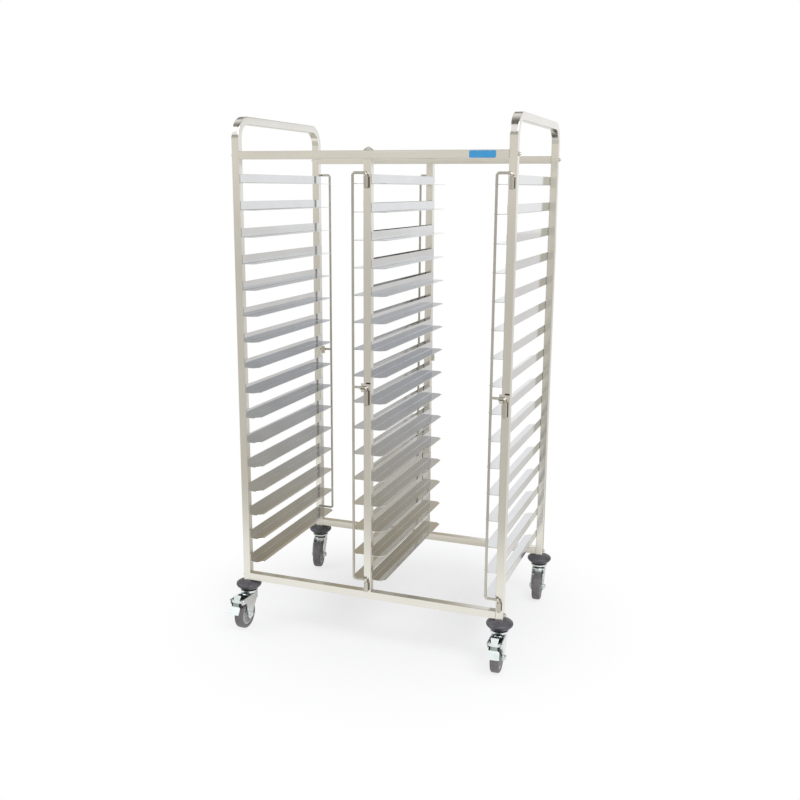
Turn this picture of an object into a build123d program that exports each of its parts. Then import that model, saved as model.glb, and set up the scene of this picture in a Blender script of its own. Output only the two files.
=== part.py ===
from build123d import *
import math
import os

# Bakery tray trolley for two columns of 600 x 400 mm trays, in millimetres.
# The origin is on the floor, midway between the four uprights.
# X runs along the trolley, -Y is its front and +Z is up.

# Overall sizes
frame_length = 920
frame_depth = 620
handle_height = 1710
handle_over_rail = 108.5
rail_underside = 165

# Square tube of the frame
tube = 25
tube_wall = 1.5
handle_bend = 70
foot_drop = 3

# Folded tray runners
runner_pitch = 84.9
lowest_runner = 230
runner_web = 28.5
runner_flange = 45
runner_sheet = 1.5
runner_end_gap = 5
runner_corner = 15

# Retaining rods of round wire
rod_diameter = 8
rod_reach = 44
rod_bottom = 234
rod_middle = 878
rod_under_rail = 65.5
rod_bend = 8
wire_sides = 12

# Barrels in which the ends of the rods turn, each with a foot against its upright.
# The wire is round where it turns, and has flats above pin_shoulder.
hinge_off_face = 8
barrel_diameter = 14
barrel_foot = 8
arm_over_barrel = 10
top_barrel = 34
middle_barrel = 48
bottom_barrel = 30
pin_tail = 2
pin_shoulder = 7
pin_clearance = 0.06

# Keepers: a plate behind each middle arm, with a ledge below it, beside its barrel
keeper_sheet = 3
keeper_inner = 6
keeper_outer = 20
keeper_above_arm = 12
keeper_below_arm = 16
ledge_depth = 11

# Wheels, which trail behind the line of their kingpins
wheel_diameter = 100
wheel_width = 30
tread_sides = 60
trail = 35
tyre_thickness = 14
rim_side_count = 24
hub_width = 26
axle_radius = 6
axle_clearance = 0.06
axle_square = 9
spacer_across_flats = 18
bolt_across_flats = 16
bolt_head = 5
lock_nut = 8

# Corner bumpers, which fill the height between the tubes and the caster heads
round_sides = 24
bumper_radius = 43.3
bumper_height = 35
bumper_rim_low = 17
bumper_rim = 6
bumper_neck = 22
bumper_top = 20

# Caster heads, with their ball rings, kingpins and square stems
head_radius = 29
head_height = 7.5
race_gap = 4.5
ball_ring_radius = 22
kingpin_radius = 8
kingpin_clearance = 0.08
kingpin_across_flats = 24
kingpin_head = 4.5
stem_square = 12
expander_height = 34
running_gap = 0.3

# Forks of pressed sheet. Outline points are (distance along the trail, height).
fork_inner = 40
fork_sheet = 3
crown_front = 26
crown_depth = 9
skirt_depth = 23
leg_boss = 15
boss_flats = 8
leg_back = ((10, 66), (-11, 92), (-14, 104))
plain_leg_front = ((47, 92), (53, 70))
braked_leg_front = ((57, 98), (57, 76))
ear_end = ((95, 121), (89, 103))

# Brake pedals of the two front casters, shown released
brake_pin = (80, 111)
brake_pin_radius = 4
brake_pin_square = 5
brake_pin_flats = 12
brake_angle = 25
pedal_sheet = 2.5
pedal_bends = ((80, 133), (88, 116), (97, 95), (117, 78))
pedal_width = 36
pedal_tab_top_width = 25
pedal_tab_width = 21
pedal_bar = 6
pedal_neck_width = 22
pedal_flare = 5
pedal_toe_width = 41
pedal_lug = 8
lug_sides = 16
shoe_thickness = 6
shoe_gap = 0.3

# Swivel angle of each caster, as the trolley stands
front_left_turn = 0
front_right_turn = 4
rear_left_turn = 12
rear_right_turn = 5

# Places that follow from the sizes above
top_rail_top = handle_height - handle_over_rail
upright_x = (frame_length - tube) / 2
upright_y = (frame_depth - tube) / 2
bay_face_x = frame_length / 2 - tube
rail_length = frame_length - 2 * tube
bottom_rail_z = rail_underside + tube / 2
top_rail_z = top_rail_top - tube / 2
runner_room = top_rail_top - tube - lowest_runner - runner_web
runner_levels = int(runner_room / runner_pitch) + 1
rod_top = top_rail_top - rod_under_rail
foot = rail_underside - foot_drop
wheel_radius = wheel_diameter / 2
rim_radius = wheel_radius - tyre_thickness
leg_outer = fork_inner / 2 + fork_sheet
head_top = foot - bumper_height
head_underside = head_top - head_height
crown_top = head_underside - race_gap
crown_low = crown_top - crown_depth

os.makedirs("parts", exist_ok=True)


def save(part, name):
    part.label = name
    export_step(part, f"parts/{name}.step")


# Side frames: one tube bent to a U, whose top is the push handle
def side_frame(x):
    handle_z = handle_height - tube / 2
    with BuildPart() as frame:
        with BuildLine(Plane.YZ.offset(x)) as path:
            FilletPolyline(
                (-upright_y, foot),
                (-upright_y, handle_z),
                (upright_y, handle_z),
                (upright_y, foot),
                radius=handle_bend - tube / 2,
            )
        with BuildSketch(Plane(origin=path.line @ 0, x_dir=(1, 0, 0), z_dir=(0, 0, 1))):
            Rectangle(tube, tube)
            Rectangle(tube - 2 * tube_wall, tube - 2 * tube_wall, mode=Mode.SUBTRACT)
        sweep()
    return frame.part


save(side_frame(-upright_x), "left_side_frame")
save(side_frame(upright_x), "right_side_frame")


# Straight tubes: four rails between the side frames, and two mid uprights
def straight_tube(start, length):
    with BuildPart() as bar:
        with BuildSketch(start):
            Rectangle(tube, tube)
            Rectangle(tube - 2 * tube_wall, tube - 2 * tube_wall, mode=Mode.SUBTRACT)
        extrude(amount=length)
    return bar.part


for side, y in (("front", -upright_y), ("rear", upright_y)):
    for level, z in (("bottom", bottom_rail_z), ("top", top_rail_z)):
        rail_start = Plane(origin=(-rail_length / 2, y, z), x_dir=(0, 1, 0), z_dir=(1, 0, 0))
        save(straight_tube(rail_start, rail_length), f"{side}_{level}_rail")
    upright_start = Plane(origin=(0, y, rail_underside + tube))
    upright_length = top_rail_top - rail_underside - 2 * tube
    save(straight_tube(upright_start, upright_length), f"{side}_mid_upright")


# Tray runners: folded angles on the bay face of the uprights, with cropped corners
def runner_row(face_x, inward):
    with BuildPart() as row:
        profile_plane = Plane(origin=(face_x, 0, 0), x_dir=(inward, 0, 0), z_dir=(0, -inward, 0))
        with BuildSketch(profile_plane):
            for level in range(runner_levels):
                with Locations((0, lowest_runner + level * runner_pitch)):
                    Rectangle(runner_flange, runner_sheet, align=Align.MIN)
                    Rectangle(runner_sheet, runner_web, align=Align.MIN)
        extrude(amount=frame_depth / 2 - runner_end_gap, both=True)
        tip_x = face_x + inward * runner_flange
        upright_edges = row.edges().filter_by(Axis.Z)
        tips = upright_edges.filter_by_position(Axis.X, tip_x - runner_sheet, tip_x + runner_sheet)
        chamfer(tips, length=runner_corner)
    return row.part


save(runner_row(-bay_face_x, 1), "left_runners")
save(runner_row(-tube / 2, -1), "mid_left_runners")
save(runner_row(tube / 2, 1), "mid_right_runners")
save(runner_row(bay_face_x, -1), "right_runners")

# Retaining rods, made about the hinge line with their three arms along -X.
# The inner end of each arm turns down into a barrel.
rod_radius = rod_diameter / 2
hinge_places = (
    (rod_bottom, bottom_barrel),
    (rod_middle, middle_barrel),
    (rod_top, top_barrel),
)
with BuildPart() as rod:
    with BuildLine(Plane.XZ) as outline:
        Polyline(
            (0, rod_bottom - pin_shoulder),
            (0, rod_bottom),
            (rod_bend - rod_reach, rod_bottom),
            (-rod_reach, rod_bottom + rod_bend),
            (-rod_reach, rod_top - rod_bend),
            (rod_bend - rod_reach, rod_top),
            (0, rod_top),
            (0, rod_top - pin_shoulder),
        )
    with BuildSketch(Plane.XY.offset(rod_bottom - pin_shoulder)):
        RegularPolygon(rod_radius, wire_sides)
    sweep(transition=Transition.RIGHT)
    with BuildLine(Plane.XZ) as middle_arm:
        Polyline((0, rod_middle - pin_shoulder), (0, rod_middle), (-rod_reach, rod_middle))
    with BuildSketch(Plane.XY.offset(rod_middle - pin_shoulder)):
        RegularPolygon(rod_radius, wire_sides)
    sweep(path=middle_arm.line, transition=Transition.RIGHT)
    for arm_z, barrel_length in hinge_places:
        with BuildSketch(Plane.XY.offset(arm_z - pin_shoulder)):
            Circle(rod_radius)
        extrude(amount=pin_shoulder - arm_over_barrel - barrel_length - pin_tail)

with BuildPart() as barrels:
    for arm_z, barrel_length in hinge_places:
        with BuildSketch(Plane.XY.offset(arm_z - arm_over_barrel - barrel_length)):
            RegularPolygon(barrel_diameter / 2, wire_sides)
            Rectangle(barrel_foot, hinge_off_face, align=(Align.CENTER, Align.MIN))
            Circle(rod_radius + pin_clearance, mode=Mode.SUBTRACT)
        extrude(amount=barrel_length)

with BuildPart() as keeper:
    with BuildSketch(Plane.XY.offset(rod_middle - keeper_below_arm)):
        with Locations((-keeper_outer, hinge_off_face)):
            Rectangle(keeper_outer - keeper_inner, keeper_sheet, align=(Align.MIN, Align.MAX))
    extrude(amount=keeper_below_arm + keeper_above_arm)
    with BuildSketch(Plane.XY.offset(rod_middle - rod_radius - running_gap)):
        with Locations((-keeper_outer, hinge_off_face - keeper_sheet)):
            Rectangle(keeper_outer - keeper_inner, ledge_depth, align=(Align.MIN, Align.MAX))
    extrude(amount=-keeper_sheet)

# Each rod stands off one upright, two at the front and two at the rear.
# The rear mid rod is swung open, so its arms lie the other way from its keeper.
hinge_y = frame_depth / 2 + hinge_off_face
rod_keepers = []
for name, x, y, keeper_turn, rod_turn in (
    ("front_mid", 0, -hinge_y, 0, 0),
    ("front_right", upright_x, -hinge_y, 0, 0),
    ("rear_left", -upright_x, hinge_y, 180, 180),
    ("rear_mid", 0, hinge_y, 180, 0),
):
    save(rod.part.moved(Location((x, y, 0), (0, 0, rod_turn))), f"{name}_retaining_rod")
    save(barrels.part.moved(Location((x, y, 0), (0, 0, keeper_turn))), f"{name}_rod_barrels")
    rod_keepers.append(keeper.part.moved(Location((x, y, 0), (0, 0, keeper_turn))))
save(Compound(children=rod_keepers), "rod_keepers")

# Caster pieces are made with the kingpin on the Z axis and the trail along -Y
side_plane = Plane(origin=(0, 0, 0), x_dir=(0, -1, 0), z_dir=(-1, 0, 0))
axle_plane = Plane(origin=(0, -trail, wheel_radius), x_dir=(0, 1, 0), z_dir=(1, 0, 0))

# Bumper: a rubber saucer on the caster's stem, with flat-sided slopes to its rim
flat_share = math.cos(math.pi / round_sides)
with BuildPart() as bumper:
    with BuildSketch(Plane.XY.offset(head_top)):
        RegularPolygon(bumper_radius, round_sides)
    extrude(amount=bumper_height)
    for end, radius, drop in (
        (-1, bumper_top, bumper_height - bumper_rim_low - bumper_rim),
        (0, bumper_neck, bumper_rim_low),
    ):
        face = bumper.faces().sort_by(Axis.Z)[end]
        inset = (bumper_radius - radius) * flat_share
        chamfer(face.edges(), length=inset, length2=drop, reference=face)
    with BuildSketch(Plane.XY.offset(head_top)):
        Rectangle(stem_square, stem_square)
    extrude(amount=bumper_height, mode=Mode.SUBTRACT)

# Head: a disc over the ball ring and kingpin, whose bolt head carries the fork.
# Its square stem passes through the bumper into the tube.
with BuildPart() as head:
    ring_low = crown_top + running_gap
    bolt_top = crown_top - fork_sheet - running_gap
    with BuildSketch(Plane.XY.offset(head_top)):
        RegularPolygon(head_radius, round_sides)
    extrude(amount=-head_height)
    with BuildSketch(Plane.XY.offset(head_underside)):
        RegularPolygon(ball_ring_radius, round_sides)
    extrude(amount=ring_low - head_underside)
    with BuildSketch(Plane.XY.offset(ring_low)):
        Circle(kingpin_radius)
    extrude(amount=bolt_top - ring_low)
    with BuildSketch(Plane.XY.offset(bolt_top)):
        RegularPolygon(kingpin_across_flats / 2, 6, major_radius=False)
    extrude(amount=-kingpin_head)
    with BuildSketch(Plane.XY.offset(head_top)):
        Rectangle(stem_square, stem_square)
    extrude(amount=bumper_height + expander_height)

# Expander: a square sleeve on the stem, which grips the inside of the tube
with BuildPart() as expander:
    with BuildSketch(Plane.XY.offset(foot)):
        Rectangle(tube - 2 * tube_wall, tube - 2 * tube_wall)
        Rectangle(stem_square, stem_square, mode=Mode.SUBTRACT)
    extrude(amount=expander_height)


# Fork: two legs under a crown that is round behind, where a skirt joins the legs.
# On a braked caster the legs reach forward as ears for the brake pin. On a plain
# one a second skirt closes the front.
def fork(braked):
    crown_corner = (crown_front, crown_top)
    skirt_corner = (crown_front + fork_sheet, crown_low)
    boss = []
    for flat in range(boss_flats + 1):
        turned = Vector(leg_boss, 0).rotate(Axis.Z, -180 * flat / boss_flats)
        boss.append((trail + turned.X, wheel_radius + turned.Y))
    if braked:
        front = (crown_corner, *ear_end, *braked_leg_front)
    else:
        front = (crown_corner, skirt_corner, *plain_leg_front)
    with BuildPart() as made:
        with BuildSketch(Plane.XY.offset(crown_top)):
            RegularPolygon(head_radius, round_sides)
            Rectangle(2 * leg_outer, head_radius, align=(Align.CENTER, Align.MIN), mode=Mode.INTERSECT)
            Rectangle(2 * leg_outer, crown_front, align=(Align.CENTER, Align.MAX))
        extrude(amount=-fork_sheet)
        with BuildSketch(Plane.XY.offset(crown_top)):
            RegularPolygon(head_radius, round_sides)
            RegularPolygon(head_radius - fork_sheet, round_sides, mode=Mode.SUBTRACT)
            Rectangle(2 * leg_outer, head_radius, align=(Align.CENTER, Align.MIN), mode=Mode.INTERSECT)
        extrude(amount=-skirt_depth)
        with BuildSketch(side_plane.offset(fork_inner / 2)):
            Polygon(*front, *boss, *leg_back, (leg_back[-1][0], crown_top), align=None)
            with Locations((trail, wheel_radius)):
                Rectangle(axle_square, axle_square, mode=Mode.SUBTRACT)
            if braked:
                with Locations(brake_pin):
                    Rectangle(brake_pin_square, brake_pin_square, mode=Mode.SUBTRACT)
        extrude(amount=fork_sheet)
        mirror(about=Plane.YZ)
        if not braked:
            with BuildSketch(side_plane):
                Polygon(
                    crown_corner,
                    skirt_corner,
                    (skirt_corner[0] - fork_sheet, crown_low),
                    (crown_front - fork_sheet, crown_top),
                    align=None,
                )
            extrude(amount=fork_inner / 2, both=True)
        with BuildSketch(Plane.XY.offset(crown_top)):
            Circle(kingpin_radius + kingpin_clearance)
        extrude(amount=-fork_sheet, mode=Mode.SUBTRACT)
    return made.part


braked_fork = fork(True)
plain_fork = fork(False)

# Tyre and hub. The rim between them is a polygon, so that the tyre can't turn on it.
with BuildPart() as tyre:
    with BuildSketch(axle_plane):
        RegularPolygon(wheel_radius, tread_sides)
        RegularPolygon(rim_radius, rim_side_count, mode=Mode.SUBTRACT)
    extrude(amount=wheel_width / 2, both=True)

with BuildPart() as hub:
    with BuildSketch(axle_plane):
        RegularPolygon(rim_radius, rim_side_count)
        Circle(axle_radius + axle_clearance, mode=Mode.SUBTRACT)
    extrude(amount=hub_width / 2, both=True)

# Axle bolt: round in the hub, with spacers beside it and square ends in the legs
spacer_inner = hub_width / 2 + running_gap
with BuildPart() as axle:
    with BuildSketch(axle_plane):
        Circle(axle_radius)
    extrude(amount=spacer_inner, both=True)
    for side in (1, -1):
        with BuildSketch(axle_plane.offset(side * spacer_inner)):
            RegularPolygon(spacer_across_flats / 2, 6, major_radius=False)
        extrude(amount=side * (fork_inner / 2 - spacer_inner))
        with BuildSketch(axle_plane.offset(side * fork_inner / 2)):
            Rectangle(axle_square, axle_square)
        extrude(amount=side * fork_sheet)
    with BuildSketch(axle_plane.offset(leg_outer)):
        RegularPolygon(bolt_across_flats / 2, 6, major_radius=False)
    extrude(amount=lock_nut)
    with BuildSketch(axle_plane.offset(-leg_outer)):
        RegularPolygon(bolt_across_flats / 2, 6, major_radius=False)
    extrude(amount=-bolt_head)

# Brake pedal: a bent plate with a release tab above its pin, a bar across, a narrow
# neck and a foot plate. Two cheeks hold the bar to the pin. The shoe between them
# points at the axle, near the tread, once the pedal is pressed down by brake_angle.
pin_place = Vector(brake_pin[0], brake_pin[1])
axle_place = Vector(trail, wheel_radius)
pin_to_tread = (axle_place - pin_place).length - wheel_radius - shoe_gap
shoe_reach = (pin_to_tread**2 - (shoe_thickness / 2) ** 2) ** 0.5
shoe_turn = Vector(1, 0).get_signed_angle(axle_place - pin_place) + brake_angle
cheek_plane = side_plane.offset(pedal_width / 2 - pedal_sheet)
tab_top, bar_top, crease, toe = pedal_bends
bar_low = (bar_top[0] + pedal_bar / 2, bar_top[1] - pedal_bar)
with BuildPart() as pedal:
    with BuildLine(side_plane) as bends:
        Polyline(*pedal_bends)
    with BuildSketch(Plane(origin=bends.line @ 0, x_dir=(1, 0, 0), z_dir=bends.line % 0)):
        Rectangle(pedal_toe_width, pedal_sheet)
    sweep(transition=Transition.RIGHT)
    with BuildSketch(Plane.XZ.offset(toe[0] + tube)):
        with BuildLine():
            Polyline(
                (pedal_tab_top_width / 2, 2 * tab_top[1]),
                (pedal_tab_top_width / 2, tab_top[1]),
                (pedal_tab_width / 2, bar_top[1]),
                (pedal_width / 2, bar_top[1]),
                (pedal_width / 2, bar_low[1]),
                (pedal_neck_width / 2, bar_low[1]),
                (pedal_neck_width / 2, crease[1] + pedal_flare),
                (pedal_width / 2, crease[1]),
                (pedal_toe_width / 2, toe[1]),
                (pedal_toe_width / 2, 0),
                (0, 0),
                (0, 2 * tab_top[1]),
                close=True,
            )
        make_face()
        mirror(about=Plane.YZ)
    extrude(amount=-toe[0], mode=Mode.INTERSECT)
    with BuildSketch(cheek_plane):
        with Locations(brake_pin):
            RegularPolygon(pedal_lug, lug_sides)
        Polygon(
            (brake_pin[0], brake_pin[1] + pedal_lug),
            bar_top,
            bar_low,
            (brake_pin[0], brake_pin[1] - pedal_lug),
            align=None,
        )
    extrude(amount=pedal_sheet)
    mirror(about=Plane.YZ)
    with BuildSketch(cheek_plane):
        with Locations(Location((brake_pin[0], brake_pin[1], 0), (0, 0, shoe_turn))):
            Rectangle(shoe_reach, shoe_thickness, align=(Align.MIN, Align.CENTER))
    extrude(amount=2 * pedal_sheet - pedal_width)
    with BuildSketch(side_plane):
        with Locations(brake_pin):
            Circle(brake_pin_radius + axle_clearance)
    extrude(amount=pedal_width, both=True, mode=Mode.SUBTRACT)

with BuildPart() as pivot:
    with BuildSketch(side_plane):
        with Locations(brake_pin):
            Circle(brake_pin_radius)
    extrude(amount=fork_inner / 2, both=True)
    for side in (1, -1):
        with BuildSketch(side_plane.offset(side * fork_inner / 2)):
            with Locations(brake_pin):
                Rectangle(brake_pin_square, brake_pin_square)
        extrude(amount=side * fork_sheet)
        with BuildSketch(side_plane.offset(side * leg_outer)):
            with Locations(brake_pin):
                RegularPolygon(brake_pin_flats / 2, 6, major_radius=False)
        extrude(amount=side * fork_sheet)

# The four casters in their places
fixed_pieces = {"corner_bumpers": [], "caster_heads": [], "stem_expanders": []}
for name, x, y, turn, braked in (
    ("front_left", -upright_x, -upright_y, front_left_turn, True),
    ("front_right", upright_x, -upright_y, front_right_turn, True),
    ("rear_left", -upright_x, upright_y, rear_left_turn, False),
    ("rear_right", upright_x, upright_y, rear_right_turn, False),
):
    corner = Location((x, y, 0))
    place = Location((x, y, 0), (0, 0, turn))
    for pieces, made in zip(fixed_pieces.values(), (bumper, head, expander)):
        pieces.append(made.part.moved(corner))
    save((braked_fork if braked else plain_fork).moved(place), f"{name}_fork")
    save(axle.part.moved(place), f"{name}_axle")
    save(tyre.part.moved(place), f"{name}_tyre")
    save(hub.part.moved(place), f"{name}_hub")
    if braked:
        save(pedal.part.moved(place), f"{name}_brake_pedal")
        save(pivot.part.moved(place), f"{name}_brake_pin")
for name, pieces in fixed_pieces.items():
    save(Compound(children=pieces), name)
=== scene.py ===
import math

import bmesh
import bpy
from mathutils import Matrix, Vector


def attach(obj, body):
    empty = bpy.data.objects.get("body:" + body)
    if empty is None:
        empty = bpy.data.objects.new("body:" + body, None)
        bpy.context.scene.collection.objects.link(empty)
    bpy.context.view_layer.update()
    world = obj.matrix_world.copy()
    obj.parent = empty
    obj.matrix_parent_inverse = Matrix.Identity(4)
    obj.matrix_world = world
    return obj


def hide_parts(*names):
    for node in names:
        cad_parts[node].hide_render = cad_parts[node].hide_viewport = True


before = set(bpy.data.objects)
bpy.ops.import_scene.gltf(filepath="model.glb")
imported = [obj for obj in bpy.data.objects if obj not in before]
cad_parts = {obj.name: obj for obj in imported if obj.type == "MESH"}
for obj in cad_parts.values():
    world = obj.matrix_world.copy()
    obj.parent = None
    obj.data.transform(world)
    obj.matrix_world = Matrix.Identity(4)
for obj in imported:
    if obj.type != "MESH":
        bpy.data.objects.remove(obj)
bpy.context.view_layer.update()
scene = bpy.context.scene
scene.view_settings.view_transform = "Standard"

# Camera: a normal lens at eye height, to the right of the trolley's middle and
# looking a little down and to the left, so that the front and every runner show.
lens_place = Vector((1.1154, -3.0761, 1.4935))
yaw, pitch, roll = (math.radians(angle) for angle in (-19.965, -12.403, 0.407))
ahead = Vector((
    math.sin(yaw) * math.cos(pitch),
    math.cos(yaw) * math.cos(pitch),
    math.sin(pitch),
))
level_right = Vector((math.cos(yaw), -math.sin(yaw), 0))
level_up = level_right.cross(ahead)
right = math.cos(roll) * level_right + math.sin(roll) * level_up
up = math.cos(roll) * level_up - math.sin(roll) * level_right
camera = bpy.data.objects.new("camera", bpy.data.cameras.new("camera"))
scene.collection.objects.link(camera)
camera.matrix_world = Matrix.Translation(lens_place) @ Matrix((right, up, -ahead)).transposed().to_4x4()
camera.data.sensor_width = 36
camera.data.lens = 43.49
scene.camera = camera


# Floor and studio: a pale floor that keeps the trolley's soft shadow and runs out
# to white. Polished metal shows the white room, with the darker side behind the lens.
def add(tree, kind, inputs=(), stops=(), **settings):
    """Adds a shader node with its settings, its links and, on a ramp, its colours."""
    made = tree.nodes.new(kind)
    for name, value in settings.items():
        setattr(made, name, value)
    for name, value in dict(inputs).items():
        if isinstance(value, bpy.types.NodeSocket):
            tree.links.new(value, made.inputs[name])
        else:
            made.inputs[name].default_value = value
    if stops:
        elements = made.color_ramp.elements
        elements.remove(elements[1])
        elements[0].position = stops[0][0]
        elements[0].color = linear(stops[0][1])
        for place, code in stops[1:]:
            elements.new(place).color = linear(code)
    return made


def linear(code):
    """A colour written as sRGB hex, turned to the linear values that shaders take."""
    shares = (int(code[place:place + 2], 16) / 255 for place in (1, 3, 5))
    return tuple(c / 12.92 if c <= 0.04045 else ((c + 0.055) / 1.055) ** 2.4 for c in shares) + (1,)


world = bpy.data.worlds.new("studio")
world.use_nodes = True
scene.world = world
tree = world.node_tree
tree.nodes.clear()
direction = add(tree, "ShaderNodeTexCoord").outputs["Generated"]
part = add(tree, "ShaderNodeSeparateXYZ", {"Vector": direction})

# Metal that faces the lens mirrors the room before the trolley: a white wall low down, a
# grey and a dark gap between soft boxes, a wide white box, and a dark ceiling.
room_ahead = add(tree, "ShaderNodeValToRGB", {"Fac": part.outputs["Z"]}, stops=(
    (0, "#e0dcd3"), (0.015, "#f6f3ea"), (0.085, "#f4f1e8"), (0.12, "#96948e"), (0.15, "#96948e"),
    (0.18, "#d8d6d0"), (0.21, "#d8d6d0"), (0.24, "#5f5d58"), (0.28, "#5f5d58"), (0.33, "#ffffff"),
    (0.77, "#ffffff"), (0.82, "#5a5854"), (0.93, "#77756f"), (1, "#4f4d4a"),
)).outputs["Color"]
# Metal that faces away mirrors the room behind: white at the floor, then grey, brownish
# and dark upwards, with a white ceiling. The backdrop straight behind is white.
room_behind = add(tree, "ShaderNodeValToRGB", {"Fac": part.outputs["Z"]}, stops=(
    (0, "#ffffff"), (0.075, "#ffffff"), (0.10, "#d5d6d8"), (0.18, "#babcc0"), (0.24, "#c6c5c3"),
    (0.31, "#c3bdae"), (0.345, "#bbb19b"), (0.40, "#a39a88"), (0.52, "#8a8883"), (0.72, "#8a8883"),
    (0.80, "#ffffff"), (1, "#dcdad6"),
)).outputs["Color"]
backdrop_side = (0.235, 0.265)
backdrop_top = (0.42, 0.5)
sideways = add(tree, "ShaderNodeMath", {0: part.outputs["X"]}, operation="ABSOLUTE")
beside_backdrop = add(tree, "ShaderNodeMapRange", {
    "Value": sideways.outputs[0], "From Min": backdrop_side[0], "From Max": backdrop_side[1],
})
above_backdrop = add(tree, "ShaderNodeMapRange", {
    "Value": part.outputs["Z"], "From Min": backdrop_top[0], "From Max": backdrop_top[1],
})
off_backdrop = add(tree, "ShaderNodeMath", {
    0: beside_backdrop.outputs[0], 1: above_backdrop.outputs[0],
}, operation="MAXIMUM")
room_behind = add(tree, "ShaderNodeMix", {
    0: off_backdrop.outputs[0], 6: linear("#ffffff"), 7: room_behind,
}, data_type="RGBA").outputs[2]
behind_lens = add(tree, "ShaderNodeMapRange", {
    "Value": part.outputs["Y"], "From Min": 0.25, "From Max": -0.25,
})
seen_in_metal = add(tree, "ShaderNodeMix", {
    0: behind_lens.outputs[0], 6: room_behind, 7: room_ahead,
}, data_type="RGBA")
# The lens sees plain white, metal sees the room, and all else is lit by a soft fill.
ray = add(tree, "ShaderNodeLightPath")
seen = add(tree, "ShaderNodeMix", {
    0: ray.outputs["Is Glossy Ray"], 6: linear("#ffffff"), 7: seen_in_metal.outputs[2],
}, data_type="RGBA")
seen_room = add(tree, "ShaderNodeBackground", {"Color": seen.outputs[2], "Strength": 1})
soft_fill = add(tree, "ShaderNodeBackground", {"Color": linear("#f4f6f8"), "Strength": 0.62})
not_diffuse = add(tree, "ShaderNodeMath", {
    0: ray.outputs["Is Camera Ray"], 1: ray.outputs["Is Glossy Ray"],
}, operation="ADD")
not_diffuse = add(tree, "ShaderNodeMath", {
    0: not_diffuse.outputs[0], 1: ray.outputs["Is Transmission Ray"],
}, operation="ADD", use_clamp=True)
sky = add(tree, "ShaderNodeMixShader", {
    0: not_diffuse.outputs[0], 1: soft_fill.outputs[0], 2: seen_room.outputs[0],
})
add(tree, "ShaderNodeOutputWorld", {"Surface": sky.outputs[0]})

for name, place, aim, width, watts in (
    ("key_lamp", (2.6, -2.4, 4.2), (0, 0, 0.6), 2.6, 105),
    ("fill_lamp", (-3.2, -1.6, 3.4), (0, 0, 0.7), 2.4, 34),
):
    lamp = bpy.data.lights.new(name, "AREA")
    lamp.shape = "SQUARE"
    lamp.size = width
    lamp.energy = watts
    stand = bpy.data.objects.new(name, lamp)
    scene.collection.objects.link(stand)
    stand.location = place
    stand.rotation_euler = (Vector(aim) - Vector(place)).to_track_quat("-Z", "Y").to_euler()

# The floor is matt white paint, which takes the trolley's shadow. For the lens it turns to
# plain white further out, and metal mirrors it at the tones given below.
shadow_near, shadow_far = 0.2, 0.95
least_white = 0.6
floor_paint = bpy.data.materials.new("floor_matt_paint")
floor_paint.use_nodes = True
tree = floor_paint.node_tree
tree.nodes.clear()
place = add(tree, "ShaderNodeTexCoord").outputs["Object"]
distance = add(tree, "ShaderNodeVectorMath", {0: place}, operation="LENGTH")
far = add(tree, "ShaderNodeMapRange", {
    "Value": distance.outputs["Value"], "From Min": shadow_near, "From Max": shadow_far,
    "To Min": least_white,
}, interpolation_type="SMOOTHSTEP")
ray = add(tree, "ShaderNodeLightPath")
seen = add(tree, "ShaderNodeMath", {
    0: ray.outputs["Is Camera Ray"], 1: ray.outputs["Is Glossy Ray"],
}, operation="ADD")
seen = add(tree, "ShaderNodeMath", {
    0: seen.outputs[0], 1: ray.outputs["Is Transmission Ray"],
}, operation="ADD", use_clamp=True)
share = add(tree, "ShaderNodeMath", {0: far.outputs[0], 1: seen.outputs[0]}, operation="MULTIPLY")
share = add(tree, "ShaderNodeMath", {
    0: share.outputs[0], 1: ray.outputs["Is Glossy Ray"],
}, operation="MAXIMUM")
paint = add(tree, "ShaderNodeBsdfDiffuse", {"Color": linear("#f4f4f6")})
part = add(tree, "ShaderNodeSeparateXYZ", {"Vector": place})
# Mirrored, the floor shows painted tones: greyer far in front, a little grey behind, and a painted
# shadow, greyest in the strip under and behind the trolley, which runs slightly aslant.
in_front = add(tree, "ShaderNodeMapRange", {
    "Value": part.outputs["Y"], "From Min": -0.95, "From Max": -1.6,
})
mirrored = add(tree, "ShaderNodeMix", {
    0: in_front.outputs[0], 6: linear("#fffefa"), 7: linear("#d3d0c8"),
}, data_type="RGBA")
behind = add(tree, "ShaderNodeMapRange", {
    "Value": part.outputs["Y"], "From Min": -0.1, "From Max": 1.2,
})
mirrored = add(tree, "ShaderNodeMix", {
    0: behind.outputs[0], 6: mirrored.outputs[2], 7: linear("#e6e4e1"),
}, data_type="RGBA")
aslant = add(tree, "ShaderNodeMath", {
    0: part.outputs["Y"], 1: -0.2, 2: part.outputs["X"],
}, operation="MULTIPLY_ADD")
shade = 1
for value, clear, full in (
    (aslant.outputs[0], 0.5, 0.36), (part.outputs["Y"], -0.32, -0.1), (part.outputs["Y"], 2.6, 1.8),
):
    inside = add(tree, "ShaderNodeMapRange", {
        "Value": value, "From Min": clear, "From Max": full,
    }, interpolation_type="SMOOTHSTEP")
    shade = add(tree, "ShaderNodeMath", {0: inside.outputs[0], 1: shade}, operation="MULTIPLY").outputs[0]
# The painted shadow under the trolley, which only metal mirrors.
mirrored = add(tree, "ShaderNodeMix", {
    0: shade, 6: mirrored.outputs[2], 7: linear("#cac5bb"),
}, data_type="RGBA")
tone = add(tree, "ShaderNodeMix", {
    0: ray.outputs["Is Glossy Ray"], 6: linear("#ffffff"), 7: mirrored.outputs[2],
}, data_type="RGBA")
white = add(tree, "ShaderNodeEmission", {"Color": tone.outputs[2], "Strength": 1})
both = add(tree, "ShaderNodeMixShader", {0: share.outputs[0], 1: paint.outputs[0], 2: white.outputs[0]})
add(tree, "ShaderNodeOutputMaterial", {"Surface": both.outputs[0]})
shape = bmesh.new()
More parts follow.
